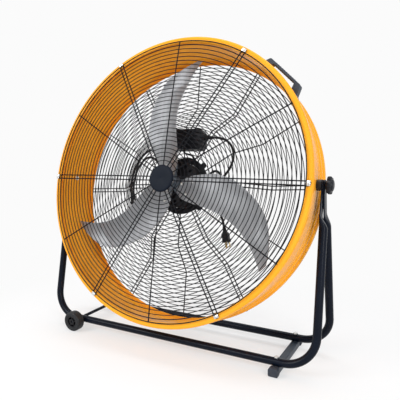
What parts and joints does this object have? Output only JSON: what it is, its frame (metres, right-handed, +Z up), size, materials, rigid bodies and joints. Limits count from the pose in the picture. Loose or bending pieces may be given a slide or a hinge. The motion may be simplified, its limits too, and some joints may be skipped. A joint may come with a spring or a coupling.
{
  "type": "drum fan",
  "caption": "Large tilting drum fan on a bent-tube floor stand with two wheels, wire guards, pitched blades, rear motor with speed control and cord.",
  "frame": {"origin": "on the floor under the centre of the object's outline", "axes": "+Z up; air leaves towards -Y; +X points to the side without wheels"},
  "size_m": [0.8634, 0.3535, 0.8682],
  "materials": {
    "stand_paint": "gloss black powder coat on the bent tube frames, axle and foot bar",
    "drum_paint": "gloss golden yellow enamel on rolled sheet",
    "guard_wire": "black plastic-dipped steel wire",
    "cap_paint": "satin near-black paint on a pressed cap",
    "zinc": "bright zinc plate on clips, screws, nuts and bolts",
    "steel_shaft": "ground steel",
    "motor_paint": "satin black paint on the motor shells and plate",
    "aluminium_blade": "plain mill-finish aluminium sheet",
    "spider_paint": "dark painted pressed steel",
    "tyre_rubber": "matt black solid rubber",
    "wheel_plastic": "moulded black plastic",
    "rubber_part": "black rubber",
    "slate_plastic": "slate grey moulded plastic",
    "knob_plastic": "black moulded plastic",
    "box_plastic": "black moulded plastic",
    "cord_pvc": "flexible black PVC sheath",
    "brass_pin": "plain brass contact pins"
  },
  "bodies": {
    "stand": {"front_frame": "stand_paint", "rear_frame": "stand_paint", "axle": "stand_paint", "axle_spacers": "stand_paint", "axle_nuts": "zinc", "foot_bar": "stand_paint", "foot_bar_ends": "rubber_part", "foot_pads": "rubber_part", "foot_bar_bolts": "zinc"},
    "drum": {"drum_shell": "drum_paint", "pivot_bushes": "wheel_plastic", "pivot_bolts": "zinc", "handle": "slate_plastic", "front_guard_spokes": "guard_wire", "front_guard_rings": "guard_wire", "front_guard_cap": "cap_paint", "front_guard_clips": "zinc", "front_guard_screws": "zinc", "rear_guard_clips": "zinc", "rear_guard_screws": "zinc", "rear_guard_field": "guard_wire", "rear_guard_field_rings": "guard_wire", "rear_guard_cone": "guard_wire", "rear_guard_cone_rings": "guard_wire", "rear_guard_centre_spokes": "guard_wire", "rear_guard_centre_rings": "guard_wire", "motor_plate": "motor_paint", "motor_plate_screws": "zinc", "motor_lug_screws": "zinc", "motor_barrel": "motor_paint", "motor_front_bell": "motor_paint", "motor_front_bearing": "steel_shaft", "motor_rear_bell": "motor_paint", "motor_rear_bearing": "steel_shaft", "control_box": "box_plastic", "control_box_cover": "box_plastic", "control_box_screws": "zinc", "speed_switch": "box_plastic", "motor_lead": "cord_pvc", "cord_gland": "cord_pvc", "power_cord": "cord_pvc", "plug": "cord_pvc", "plug_pins": "brass_pin"},
    "rotor": {"motor_shaft": "steel_shaft", "blade_spider": "spider_paint", "blade_1": "aluminium_blade", "blade_2": "aluminium_blade", "blade_3": "aluminium_blade", "blade_rivets": "zinc", "hub_nut": "zinc"},
    "front_wheel": {"front_wheel_hub": "wheel_plastic", "front_tyre": "tyre_rubber"},
    "rear_wheel": {"rear_wheel_hub": "wheel_plastic", "rear_tyre": "tyre_rubber"},
    "knob_right": {"knob_right": "knob_plastic"},
    "knob_left": {"knob_left": "knob_plastic"},
    "speed_knob": {"speed_knob": "knob_plastic"}
  },
  "joints": [
    {"name": "drum_tilt", "type": "hinge", "parent": "stand", "child": "drum", "pos_m": [0, 0.00134, 0.4709], "axis": [1, 0, 0], "range_deg": [-75, 104]},
    {"name": "blade_spin", "type": "hinge", "parent": "drum", "child": "rotor", "pos_m": [0, 0.00134, 0.46095], "axis": [0, 0.9692, -0.2463], "continuous": true},
    {"name": "front_wheel_roll", "type": "hinge", "parent": "stand", "child": "front_wheel", "pos_m": [-0.3227, -0.11286, 0.0306], "axis": [0, 1, 0], "continuous": true},
    {"name": "rear_wheel_roll", "type": "hinge", "parent": "stand", "child": "rear_wheel", "pos_m": [-0.3227, 0.11554, 0.0306], "axis": [0, 1, 0], "continuous": true},
    {"name": "tilt_knob_right", "type": "hinge", "parent": "drum", "child": "knob_right", "pos_m": [0.422, 0.00134, 0.4709], "axis": [1, 0, 0], "range_deg": [-720, 0]},
    {"name": "tilt_knob_left", "type": "hinge", "parent": "drum", "child": "knob_left", "pos_m": [-0.422, 0.00134, 0.4709], "axis": [1, 0, 0], "range_deg": [0, 720]},
    {"name": "speed_select", "type": "hinge", "parent": "drum", "child": "speed_knob", "pos_m": [-0.004, 0.094, 0.5819], "axis": [0, 0.9692, -0.2463], "range_deg": [0, 135]}
  ]
}
